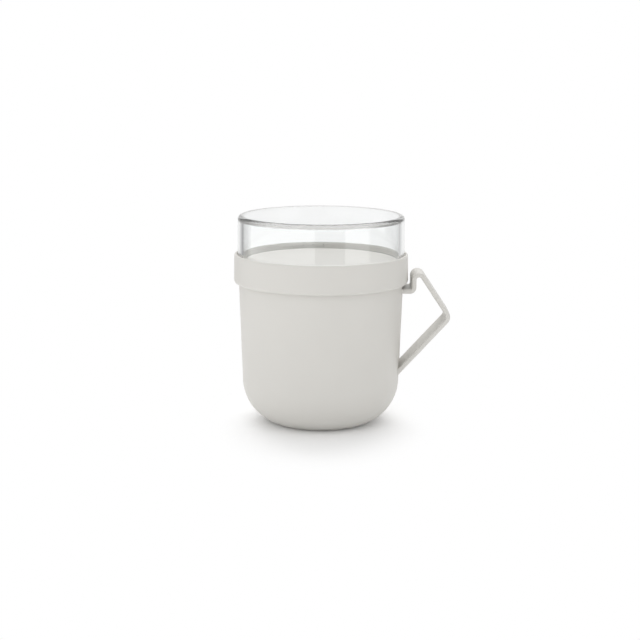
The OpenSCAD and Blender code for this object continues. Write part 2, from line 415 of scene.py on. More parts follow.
def thread_recipe() -> Recipe:
    """Build the tree that sweeps a thread's ridge along a helix and repeats it round the axis.

    The starting mesh is the ridge's cross-section, a closed line whose X is how far a corner stands
    out from the wall, and whose Y is how far it lies down. Each ridge runs out at both ends.

    Returns:
        The tree, with the inputs Starts, Steps, Wall radius, Turns, Rise, First height, Runout, Tip
        and Material.
    """
    recipe = Recipe("Thread ridges")
    starts = recipe.takes("Starts", Input.COUNT)
    steps = recipe.takes("Steps", Input.COUNT)
    wall = recipe.takes("Wall radius", Input.NUMBER)
    turns = recipe.takes("Turns", Input.NUMBER)
    rise = recipe.takes("Rise", Input.NUMBER)
    height = recipe.takes("First height", Input.NUMBER)
    runout = recipe.takes("Runout", Input.NUMBER)
    tip = recipe.takes("Tip", Input.NUMBER)
    material = recipe.takes("Material", Input.MATERIAL)
    climb = {"Resolution": steps, "Rotations": turns, "Height": rise}
    helix = recipe.result("GeometryNodeCurveSpiral", {**climb, "Start Radius": wall, "End Radius": wall})
    path = recipe.result("GeometryNodeSetCurveNormal", {"Curve": helix}, mode="Z_UP")
    share = recipe.add("GeometryNodeSplineParameter").outputs["Factor"]
    from_end = recipe.math("MINIMUM", share, recipe.math("SUBTRACT", 1.0, share))
    growth = recipe.math("MINIMUM", recipe.math("DIVIDE", from_end, runout), 1.0)
    swell = recipe.math("SQRT", recipe.math("MAXIMUM", growth, tip))
    section = recipe.result("GeometryNodeMeshToCurve", {"Mesh": recipe.entry.outputs["Geometry"]})
    sweep = {"Curve": path, "Profile Curve": section, "Scale": swell, "Fill Caps": True}
    ridge = recipe.result("GeometryNodeCurveToMesh", sweep)
    spot = recipe.result("ShaderNodeCombineXYZ", {2: height})
    points = recipe.result("GeometryNodePoints", {"Count": starts, "Position": spot})
    angle = recipe.math(
        "MULTIPLY", recipe.result("GeometryNodeInputIndex"), recipe.math("DIVIDE", math.tau, starts)
    )
    turn = recipe.result("ShaderNodeCombineXYZ", {2: angle})
    spread = {"Points": points, "Instance": ridge, "Rotation": turn}
    recipe.gives(recipe.result("GeometryNodeInstanceOnPoints", spread), material)
    return recipe


@dataclass(frozen=True)
class Corner:
    """A corner of a half section, in millimetres.

    Attributes:
        radius: Distance from the axis.
        height: Height above the table.
        edge: Radius of the corner's rounding.
        steps: Number of faces round the rounding.
    """

    radius: float
    height: float
    edge: float = 0.0
    steps: int = 4


def arc(centre: tuple[float, float], radius: float, start: float, end: float, count: int) -> list[Corner]:
    """Lay corners along an arc of a half section.

    Args:
        centre: Radius and height of the arc's centre.
        radius: The arc's radius.
        start: Angle of its first point above the horizontal, in degrees.
        end: Angle of its last point, in degrees.
        count: Number of stretches between the points.

    Returns:
        The corners, which are plain points without a rounding.
    """
    corners = []
    for i in range(count + 1):
        angle = math.radians(start + (end - start) * i / count)
        corners.append(Corner(centre[0] + radius * math.cos(angle), centre[1] + radius * math.sin(angle)))
    return corners


def line_object(name: str, points: list[tuple[float, float]], closed: bool) -> bpy.types.Object:
    """Make an object that holds a flat line of points.

    Args:
        name: The object's name.
        points: The points, in metres.
        closed: True where the last point joins the first.

    Returns:
        The new object.
    """
    mesh = bpy.data.meshes.new(name)
    count = len(points)
    edges = [(i, (i + 1) % count) for i in range(count if closed else count - 1)]
    mesh.from_pydata([(x, y, 0.0) for x, y in points], edges, [])
    return new_object(name, mesh)


def outward(mesh: bpy.types.Mesh) -> None:
    """Turn every face of a closed mesh outwards.

    Args:
        mesh: The mesh, which is changed.
    """
    work = bmesh.new()
    work.from_mesh(mesh)
    bmesh.ops.recalc_face_normals(work, faces=work.faces)
    if work.calc_volume(signed=True) < 0:
        bmesh.ops.reverse_faces(work, faces=work.faces)
    work.to_mesh(mesh)
    work.free()


def settled(piece: bpy.types.Object) -> bpy.types.Mesh:
    """Apply a piece's modifiers and take them off.

    Args:
        piece: The piece, whose own mesh stays as it is.

    Returns:
        The mesh with the modifiers applied.
    """
    bpy.context.view_layer.update()
    graph = bpy.context.evaluated_depsgraph_get()
    mesh = bpy.data.meshes.new_from_object(piece.evaluated_get(graph), depsgraph=graph)
    piece.modifiers.clear()
    return mesh


def keep_flats_flat(piece: bpy.types.Object) -> None:
    """Shade a piece by its large faces, so that small roundings don't bend the look of flat areas.

    Args:
        piece: The piece, whose mesh is replaced.
    """
    modifier = piece.modifiers.new("Large faces lead", "WEIGHTED_NORMAL")
    modifier.mode = "FACE_AREA"
    modifier.weight = NEUTRAL_WEIGHT
    piece.data = settled(piece)


@dataclass(frozen=True)
class SatinPlastic:
    """Fine satin moulded plastic.

    Attributes:
        name: Name of the material.
        colour: Display colour, 0 to 255.
        roughness: Mean roughness of the surface.
        ior: Index of refraction.
        grain: Size of the tool's spark grain, in millimetres.
        grain_layers: Number of finer layers in the grain.
        relief: Height of the grain, in millimetres.
        strength: How much of the relief shows.
        sparkle: How far the grain moves the roughness up and down.
        cloud: Size of the faint patches that roughness and colour drift over, in millimetres.
        cloud_layers: Number of finer layers in the patches.
        drift: How far the patches move the roughness up and down.
        darkest: Share of the colour that the darkest patches keep.
    """

    name: str
    colour: Colour = (214, 212, 207)
    roughness: float = 0.46
    ior: float = 1.49
    grain: float = 0.35
    grain_layers: float = 3.0
    relief: float = 0.0025
    strength: float = 0.6
    sparkle: float = 0.03
    cloud: float = 26.0
    cloud_layers: float = 2.0
    drift: float = 0.05
    darkest: float = 0.985

    def material(self) -> bpy.types.Material:
        """Make the material, with grain, drift and gloss from nodes on object coordinates.

        Returns:
            The new material.
        """
        made, graph = new_material(self.name)
        spot = graph.coordinates()
        drift = graph.noise(spot, self.cloud, self.cloud_layers)
        grain = graph.noise(spot, self.grain, self.grain_layers)
        tint = graph.mix(Mix.COLOURS, drift, linear(self.colour, self.darkest), linear(self.colour))
        gloss = graph.around(drift, self.roughness, self.drift)
        rough = graph.math("ADD", gloss, graph.around(grain, 0.0, self.sparkle))
        graph.skin(tint, rough, graph.bump(grain, self.relief, self.strength), self.ior)
        return made


@dataclass(frozen=True)
class Silicone:
    """Soft matt silicone, with a faint bloom.

    Attributes:
        name: Name of the material.
        colour: Display colour, 0 to 255.
        roughness: Mean roughness of the surface.
        ior: Index of refraction.
        cloud: Size of the bloom's patches, in millimetres.
        layers: Number of finer layers in the bloom.
        relief: Height of the bloom, in millimetres.
        strength: How much of the relief shows.
        drift: How far the bloom moves the roughness up and down.
        darkest: Share of the colour that the darkest patches keep.
    """

    name: str
    colour: Colour = (236, 235, 232)
    roughness: float = 0.62
    ior: float = 1.41
    cloud: float = 4.0
    layers: float = 4.0
    relief: float = 0.01
    strength: float = 0.4
    drift: float = 0.06
    darkest: float = 0.96

    def material(self) -> bpy.types.Material:
        """Make the material, with a bloom that drifts in colour and roughness.

        Returns:
            The new material.
        """
        made, graph = new_material(self.name)
        bloom = graph.noise(graph.coordinates(), self.cloud, self.layers)
        tint = graph.mix(Mix.COLOURS, bloom, linear(self.colour, self.darkest), linear(self.colour))
        rough = graph.around(bloom, self.roughness, self.drift)
        graph.skin(tint, rough, graph.bump(bloom, self.relief, self.strength), self.ior)
        return made


@dataclass(frozen=True)
class ClearPlastic:
    """Clear polished plastic, with faint ripples from its mould.

    Attributes:
        name: Name of the material.
        colour: Display colour that a surface lets through, 0 to 255.
        ior: Index of refraction.
        roughness: Roughness of the polished surface.
        lamp_share: Share of lamp light that each surface lets through.
        ripple: Size of the ripples, in millimetres.
        layers: Number of finer layers in the ripples.
        relief: Height of the ripples, in millimetres.
        strength: How much of the relief shows.
        tint: Colour that the plastic keeps along a long way through it, red, green and blue.
        haze: How much light it swallows on a metre's way.
    """

    name: str
    colour: Colour = (254, 255, 255)
    ior: float = 1.5
    roughness: float = 0.015
    lamp_share: float = 1.0
    ripple: float = 18.0
    layers: float = 0.0
    relief: float = 0.0025
    strength: float = 0.5
    tint: Colour = (0.08, 0.05, 0.0)
    haze: float = 2.2

    def material(self) -> bpy.types.Material:
        """Make the material. Light from lamps passes straight through, so that the lid stays lit.

        Returns:
            The new material.
        """
        made, graph = new_material(self.name)
        waves = graph.noise(graph.coordinates(), self.ripple, self.layers)
        glass = graph.result(
            "ShaderNodeBsdfPrincipled",
            {
                "Base Color": linear(self.colour),
                "Roughness": self.roughness,
                "IOR": self.ior,
                "Transmission Weight": 1.0,
                "Normal": graph.bump(waves, self.relief, self.strength),
            },
        )
        share = self.lamp_share
        window = graph.result("ShaderNodeBsdfTransparent", {"Color": (share, share, share, 1.0)})
        path = graph.add("ShaderNodeLightPath").outputs
        lamp = graph.math("MAXIMUM", path["Is Shadow Ray"], path["Is Diffuse Ray"])
        shader = graph.result("ShaderNodeMixShader", {0: lamp, 1: glass, 2: window})
        inside = {"Color": (*self.tint, 1.0), "Density": self.haze}
        depth = graph.result("ShaderNodeVolumeAbsorption", inside)
        graph.add("ShaderNodeOutputMaterial", {"Surface": shader, "Volume": depth})
        return made


@dataclass(frozen=True)
class Ridge:
    """Shape of a screw thread's ridge, in millimetres.

    Attributes:
        lead: Rise in one turn.
        arc: Length of a ridge, in degrees.
        depth: Height of a ridge above its wall.
        base: Width at the root.
        crest: Width at the crest.
        play: Space between a ridge and the wall that it faces.
        gap: Space between the ridges of the two walls that screw together.
    """

    lead: float
    arc: float
    depth: float
    base: float
    crest: float
    play: float
    gap: float

    @property
    def rise(self) -> float:
        """How far one ridge climbs."""
        return self.lead * self.arc / 360

    @property
    def pitch(self) -> float:
        """Distance from a ridge's middle to the middle of the ridge that it bears on."""
        flank = (self.base + self.crest) / 2 - (self.base - self.crest) / 2 * self.play / self.depth
        return flank + self.gap


NECK_RIDGE = Ridge(lead=18.0, arc=90.0, depth=0.9, base=2.0, crest=0.9, play=0.3, gap=0.35)
CUP_RIDGE = Ridge(lead=9.0, arc=40.0, depth=0.9, base=1.3, crest=0.6, play=0.3, gap=0.2)


@dataclass(frozen=True)
class Thread:
    """A set of helical ridges on a round wall, in millimetres.

    Attributes:
        wall: Radius of the wall that the ridges stand on.
        side: Side of the wall.
        first: Height of the middle of each ridge's first end.
        ridge: Shape of a ridge.
        starts: Number of ridges.
        sunk: How deep a ridge's root lies in its wall.
        steps: Number of stretches along a ridge.
        runout: Share of a ridge over which each end runs out.
        tip: Share of its growth that a ridge has at its very ends.
    """

    wall: float
    side: Side
    first: float
    ridge: Ridge
    starts: int = 3
    sunk: float = 0.3
    steps: int = 48
    runout: float = 0.2
    tip: float = 0.02

    def ridges(self, recipe: Recipe, material: bpy.types.Material) -> bpy.types.Object:
        """Make the ridges as closed solids.

        Args:
            recipe: The tree that sweeps and repeats a ridge.
            material: The material of the piece that they belong to.

        Returns:
            An object that holds all the ridges.
        """
        ridge = self.ridge
        root = -self.side.value * self.sunk * MM
        crest = self.side.value * ridge.depth * MM
        section = [
            (root, -ridge.base / 2 * MM),
            (crest, -ridge.crest / 2 * MM),
            (crest, ridge.crest / 2 * MM),
            (root, ridge.base / 2 * MM),
        ]
        ridges = line_object("ridges", section, closed=True)
        recipe.apply(
            ridges,
            {
                "Starts": self.starts,
                "Steps": self.steps,
                "Wall radius": self.wall * MM,
                "Turns": ridge.arc / 360,
                "Rise": ridge.rise * MM,
                "First height": self.first * MM,
                "Runout": self.runout,
                "Tip": self.tip,
                "Material": material,
            },
        )
        ridges.data = settled(ridges)
        outward(ridges.data)
        return ridges


@dataclass
class Workshop:
    """The two Geometry Nodes trees, and the steps that every turned piece goes through.

    Attributes:
        turning: The tree that turns a half section.
        threading: The tree that makes thread ridges.
    """

    turning: Recipe = field(default_factory=turning_recipe)
    threading: Recipe = field(default_factory=thread_recipe)

    def turned(
        self,
        name: str,
        corners: list[Corner],
        material: bpy.types.Material,
        closed: bool = False,
        threads: tuple[Thread, ...] = (),
        segments: int = ROUND_FACES,
    ) -> bpy.types.Object:
        """Turn a piece from a half section, and join its threads on.

        Args:
            name: Name of the piece.
            corners: The half section. It starts and ends on the axis unless it is closed.
            material: The piece's material.
            closed: True for a ring, whose section is a closed line.
            threads: The screw threads on its walls.
            segments: Number of faces round the axis.

        Returns:
            The finished piece.
        """
        radius = sum(corner.radius for corner in corners) / len(corners)
        points = [((corner.radius - radius) * MM, -corner.height * MM) for corner in corners]
        piece = line_object(name, points, closed)
        edge = piece.data.attributes.new("edge", "FLOAT", "POINT")
        edge.data.foreach_set("value", [corner.edge * MM for corner in corners])
        steps = piece.data.attributes.new("steps", "INT", "POINT")
        steps.data.foreach_set("value", [corner.steps for corner in corners])
        values = {"Segments": segments, "Path radius": radius * MM, "Material": material}
        self.turning.apply(piece, values)
        piece.data = settled(piece)
        outward(piece.data)
        for thread in threads:
            self.join(piece, thread.ridges(self.threading, material))
        keep_flats_flat(piece)
        return piece

    @staticmethod
    def join(piece: bpy.types.Object, ridges: bpy.types.Object) -> None:
        """Unite a piece with its thread ridges in one closed skin.

        Args:
            piece: The piece, whose mesh is replaced.
            ridges: The object that holds the ridges, which is removed.
        """
        modifier = piece.modifiers.new("Ridges", "BOOLEAN")
        modifier.operation = "UNION"
        modifier.solver = "MANIFOLD"
        modifier.object = ridges
        piece.data = settled(piece)
        bpy.data.objects.remove(ridges)


def place(piece: bpy.types.Object, body: Body, slot: Slot, *nodes: str) -> None:
    """Hand a finished piece to the frame.

    Args:
        piece: The finished piece.
        body: The body that it rides on.
        slot: The record's material slot for the piece; not used.
        *nodes: The CAD nodes that it stands for.
    """
    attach(piece, body.value)
    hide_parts(*nodes)
    LOG.info("%s: %d faces on %s", piece.name, len(piece.data.polygons), body.value)


@dataclass
class Mug:
    """The cup: a leaning wall, a large bottom rounding, a standing ring and a threaded neck.

    Attributes:
        rim: Height of the rim.
        lid_bottom: Height of the lid's lower edge, where the wall's radius is given.
        radius: Outer radius of the wall at that height.
        lean: Lean of the wall, in degrees.
        wall: Thickness of the wall.
        floor: Height of the floor's upper face.
        floor_edge: Rounding where the inside's bend meets the floor.
        floor_steps: Number of faces round that rounding.
        rounding: Radius of the bottom rounding.
        bend_steps: Number of stretches along the bottom rounding, outside and inside.
        cut: Depth of the rounding that the flat base cuts off.
        ring: Width of the standing ring.
        ring_outer_edge: Rounding of the standing ring's outer edge.
        ring_inner_edge: Rounding of the standing ring's inner edge.
        hollow: Height of the hollow inside that ring.
        hollow_edge: Rounding of the hollow's upper edge.
        neck: Radius of the neck.
        neck_root: Rounding where the neck meets the ledge.
        ledge_lift: Height of the ledge where the neck begins, above the lid's lower edge.
        ledge_edge: Rounding of the ledge's outer edge.
        rim_outer_edge: Rounding of the rim's outer edge.
        rim_inner_edge: Rounding of the rim's inner edge.
        edge_steps: Number of faces round the rim's edges and the ring's outer edge.
        ridge: Shape of the neck's thread ridges.
        ridge_drop: Drop from the rim to the middle of a ridge's highest end.
    """

    rim: float = high_of("mug_body")
    lid_bottom: float = low_of("screw_lid")
    radius: float = 50.55
    lean: float = 2.0
    wall: float = 2.8
    floor: float = 3.2
    floor_edge: float = 5.0
    floor_steps: int = 8
    rounding: float = 28.5
    bend_steps: int = 40
    cut: float = 1.65
    ring: float = 4.0
    ring_outer_edge: float = 1.2
    ring_inner_edge: float = 0.4
    hollow: float = 1.2
    hollow_edge: float = 0.5
    neck: float = 49.7
    neck_root: float = 0.3
    ledge_lift: float = 1.0
    ledge_edge: float = 0.4
    rim_outer_edge: float = 0.8
    rim_inner_edge: float = 0.7
    edge_steps: int = 6
    ridge: Ridge = NECK_RIDGE
    ridge_drop: float = 1.9

    def wall_radius(self, height: float) -> float:
        """Return the wall's outer radius at a height."""
        return self.radius + (height - self.lid_bottom) * math.tan(math.radians(self.lean))

    @property
    def across(self) -> float:
        """The wall's thickness along the radius."""
        return self.wall / math.cos(math.radians(self.lean))

    @property
    def mouth(self) -> float:
        """The inner radius at the rim."""
        return self.wall_radius(self.rim) - self.across

    @property
    def round_centre(self) -> tuple[float, float]:
        """Radius and height of the bottom rounding's centre."""
        height = self.rounding - self.cut
        return self.wall_radius(height) - self.rounding / math.cos(math.radians(self.lean)), height

    def outer_half(self) -> list[Corner]:
        """Lay the outer half section.

        Returns:
            Its corners, from the middle of the underside to the rim.
        """
        across, up = self.round_centre
        base = across + math.sqrt(self.rounding**2 - up**2)
        first = -math.degrees(math.asin(up / self.rounding))
        ledge = self.lid_bottom + self.ledge_lift
        underside = [
            Corner(0.0, self.hollow),
            Corner(base - self.ring, self.hollow, self.hollow_edge),
            Corner(base - self.ring, 0.0, self.ring_inner_edge),
            Corner(base, 0.0, self.ring_outer_edge, self.edge_steps),
        ]
        bend = arc((across, up), self.rounding, first, -self.lean, self.bend_steps)[1:]
        top = [
            Corner(self.wall_radius(ledge), ledge, self.ledge_edge),
            Corner(self.neck, ledge, self.neck_root),
            Corner(self.neck, self.rim, self.rim_outer_edge, self.edge_steps),
        ]
        return underside + bend + top

    def inner_half(self) -> list[Corner]:
        """Lay the inner half section.

        Returns:
            Its corners, from the rim to the middle of the floor.
        """
        across, up = self.round_centre
        inside = self.rounding - self.wall
        last = -math.degrees(math.asin((up - self.floor) / inside))
        bend = arc((across, up), inside, -self.lean, last, self.bend_steps)
        rim = Corner(self.mouth, self.rim, self.rim_inner_edge, self.edge_steps)
        foot = Corner(bend[-1].radius, self.floor, self.floor_edge, self.floor_steps)
        return [rim] + bend[:-1] + [foot, Corner(0.0, self.floor)]

    def thread(self) -> Thread:
        """Return the neck's thread."""
        first = self.rim - self.ridge_drop - self.ridge.rise
        return Thread(self.neck, Side.OUTER, first, self.ridge)

    def build(self, workshop: Workshop, finish: SatinPlastic) -> bpy.types.Object:
        """Build and place the cup.

        Args:
            workshop: The trees that turn and thread it.
            finish: Its plastic.

        Returns:
            The finished piece.
        """
        corners = self.outer_half() + self.inner_half()
        piece = workshop.turned("mug_shell", corners, finish.material(), threads=(self.thread(),))
        place(piece, Body.MUG, Slot.MUG, "mug_body")
        return piece


def unit(angle: float) -> Vector:
    """Return the flat vector of length 1 that points at an angle, in degrees."""
    return Vector((math.cos(math.radians(angle)), math.sin(math.radians(angle))))


def heading(start: tuple[float, float], end: tuple[float, float]) -> float:
    """Return the direction from one flat point to another, in degrees."""
    return math.degrees(math.atan2(end[1] - start[1], end[0] - start[0]))


@dataclass(frozen=True)
class Station:
    """A place along the handle's band.

    Attributes:
        along: Distance out from the mug's axis, in millimetres.
        height: Height above the table.
        heading: Direction of the band above the horizontal, in degrees.
        off_wall: Distance from the mug's wall along the band, or None away from the wall.
    """

    along: float
    height: float
    heading: float
    off_wall: float | None = None


@dataclass
class Handle:
    """A flat band, bent up beside the lid, over a crook and down to a pointed corner.

    Attributes:
        mug: The cup that carries it.
        lid_radius: Outer radius of the lid's skirt at its lower edge.
        thickness: Thickness of the band.
        width: Width of the band.
        edge: Rounding of the band's long edges.
        edge_steps: Number of faces round each long edge.
        root: Radius of the fillet where the band meets the mug.
        root_steps: Number of stretches along that fillet.
        root_reach: How far the last close cross-section stands from the wall, in fillet radii.
        tab_drop: Drop from the lid's lower edge to the middle of the upper tab.
        upright_gap: Space between the lid and the upright.
        upright_rise: Height of the upright from the tab to the start of the crook.
        upper_lean: Angle of the upper arm from the vertical, in degrees.
        lower_lean: Angle of the lower arm from the vertical, in degrees.
        corner_run: Reach of the outer corner beyond the upright.
        bends: Radii of the bend at the tab, of the crook and of the outer corner.
        bend_step: Greatest turn between two cross-sections in a bend, in degrees.
        search_steps: Number of moves by which a point of a root finds the mug's wall.
        search_share: Share of the way still to go that each move takes.
    """

    mug: Mug
    lid_radius: float
    thickness: float = 2.8
    width: float = 22.5
    edge: float = 0.9
    edge_steps: int = 5
    root: float = 0.7
    root_steps: int = 5
    root_reach: float = 1.6
    tab_drop: float = 4.1
    upright_gap: float = 1.85
    upright_rise: float = 7.1
    upper_lean: float = 33.5
    lower_lean: float = 42.5
    corner_run: float = 22.1
    bends: tuple[float, float, float] = (2.4, 3.0, 4.3)
    bend_step: float = 6.0
    search_steps: int = 30
    search_share: float = 0.8

    def corners(self) -> list[tuple[float, float]]:
        """Lay the corners of the band's middle line.

        Returns:
            Distance from the axis and height of each corner, from the tab to the lower end.
        """
        upright = self.lid_radius + self.upright_gap + self.thickness / 2
        out = upright + self.corner_run
        tab = self.mug.lid_bottom - self.tab_drop
        crook = tab + self.upright_rise + self.bends[1] / math.tan(math.radians(self.upper_lean / 2))
        corner = crook - self.corner_run / math.tan(math.radians(self.upper_lean))
        start = self.mug.neck - self.mug.wall
        end = corner - (out - start) / math.tan(math.radians(self.lower_lean))
        return [(start, tab), (upright, tab), (upright, crook), (out, corner), (start, end)]

    def bend(self, corners: list[tuple[float, float]], number: int) -> list[Station]:
        """Lay the stations round one bend of the middle line.

        Args:
            corners: The corners of the middle line.
            number: Which of them is bent, counted from 0 at the tab's end.

        Returns:
            The stations of the bend, in order.
        """
        before, corner, after = corners[number - 1 : number + 2]
        first = heading(before, corner)
        turn = (heading(corner, after) - first + 180) % 360 - 180
        radius = self.bends[number - 1]
        back = radius * math.tan(math.radians(abs(turn) / 2))
        side = math.copysign(1, turn)
        centre = Vector(corner) - back * unit(first) + side * radius * unit(first + 90)
        count = math.ceil(abs(turn) / self.bend_step)
        stations = []
        for i in range(count + 1):
            angle = first + turn * i / count
            spot = centre - side * radius * unit(angle + 90)
            stations.append(Station(spot.x, spot.y, angle))
        return stations

    def stations(self) -> list[Station]:
        """Lay every station of the band.

        Returns:
            The stations from the tab to the lower end, with close ones at both roots for the fillets.
        """
        corners = self.corners()
        turns = [90 * i / self.root_steps for i in range(1, self.root_steps + 1)]
        near = [0.0] + [self.root * (1 - math.cos(math.radians(turn))) for turn in turns]
        near.append(self.root * self.root_reach)
        first = heading(corners[0], corners[1])
        last = heading(corners[-2], corners[-1])
        upper = [Station(*corners[0], first, off) for off in near]
        lower = [Station(*corners[-1], last, off) for off in reversed(near)]
        bends = range(1, len(self.bends) + 1)
        middle = [station for number in bends for station in self.bend(corners, number)]
        return upper + middle + lower

    def outline(self, grown: float) -> list[tuple[float, float]]:
        """Lay the band's cross-section.

        Args:
            grown: How far the outline stands out from its plain size.

        Returns:
            Its points, each across the band's thickness and along its width.
        """
        points = []
        radius = self.edge + grown
        for quarter in range(4):
            side = 1 if quarter in (0, 3) else -1
            end = 1 if quarter < 2 else -1
            for i in range(self.edge_steps + 1):
                angle = math.radians(90 * quarter + 90 * i / self.edge_steps)
                across = side * (self.thickness / 2 - self.edge) + radius * math.cos(angle)
                points.append((across, end * (self.width / 2 - self.edge) + radius * math.sin(angle)))
        return points

    def to_wall(self, point: Vector, out: Vector) -> Vector:
        """Find where a line through a point meets the mug's outer surface.

        Args:
            point: A point near the wall.
            out: The line's direction away from the mug.

        Returns:
            The point on the surface.
        """
        spot = point.copy()
        for _ in range(self.search_steps):
            short = math.hypot(spot.x, spot.y) - self.surface_radius(spot.z)
            spot -= out * short * self.search_share
        return spot

    def surface_radius(self, height: float) -> float:
        """Measure the mug's outer surface, on its wall or on its bottom rounding.

        Args:
            height: Height above the table.

        Returns:
            The radius at that height.
        """
        across, up = self.mug.round_centre
        if height >= up - self.mug.rounding * math.sin(math.radians(self.mug.lean)):
            return self.mug.wall_radius(height)
        return across + math.sqrt(self.mug.rounding**2 - (up - height) ** 2)

    def ring(self, station: Station, way: Way) -> list[Vector]:
        """Lay the points of one cross-section.

        Args:
            station: The place of the cross-section.
            way: Which way the band heads there.

        Returns:
            The points, in millimetres.
        """
        grown = 0.0
        if station.off_wall is not None and station.off_wall < self.root:
            grown = self.root - math.sqrt(self.root**2 - (self.root - station.off_wall) ** 2)
        angle = math.radians(station.heading)
        out = Vector((math.cos(angle), 0.0, math.sin(angle))) * way.value
        normal = Vector((-math.sin(angle), 0.0, math.cos(angle)))
        centre = Vector((station.along, 0.0, station.height))
        points = []
        for across, beside in self.outline(grown):
            point = centre + normal * across - Vector((0.0, beside, 0.0))
            if station.off_wall is not None:
                point = self.to_wall(point, out) + out * station.off_wall
            points.append(point)
        return points

    def build(self, finish: SatinPlastic) -> bpy.types.Object:
        """Build and place the handle.

        Args:
            finish: Its plastic.

        Returns:
            The finished piece.
        """
        stations = self.stations()
        ways = [Way.OUT if i < len(stations) / 2 else Way.BACK for i in range(len(stations))]
        rings = [self.ring(station, way) for station, way in zip(stations, ways)]
        count = len(rings[0])
        points = [point * MM for ring in rings for point in ring]
        faces = [list(range(count)), [len(points) - 1 - i for i in range(count)]]
        for i in range(len(rings) - 1):
            for j in range(count):
                here = i * count + j
                beside = i * count + (j + 1) % count
                faces.append([here, beside, beside + count, here + count])
        mesh = bpy.data.meshes.new("handle_band")
        mesh.from_pydata(points, [], faces)
        mesh.materials.append(finish.material())
        piece = new_object("handle_band", mesh)
        outward(mesh)
        mesh.shade_smooth()
        keep_flats_flat(piece)
        place(piece, Body.MUG, Slot.MUG, "handle")
        return piece


@dataclass
class Seal:
    """A soft ring with rounded edges, which fills the place of its CAD node.

    Attributes:
        node: The CAD node.
        inner: Inner radius.
        edge: Rounding of its edges.
        body: The body that it rides on.
    """

    node: str
    inner: float
    edge: float
    body: Body

    def build(self, workshop: Workshop, finish: Silicone) -> bpy.types.Object:
        """Build and place the seal.

        Args:
            workshop: The trees that turn it.
            finish: Its silicone.

        Returns:
            The finished piece.
        """
        low, high, outer = low_of(self.node), high_of(self.node), reach_of(self.node)
        section = ((self.inner, low), (outer, low), (outer, high), (self.inner, high))
        corners = [Corner(radius, height, self.edge) for radius, height in section]
        piece = workshop.turned(f"{self.node}_ring", corners, finish.material(), closed=True)
        place(piece, self.body, Slot.SEAL, self.node)
        return piece


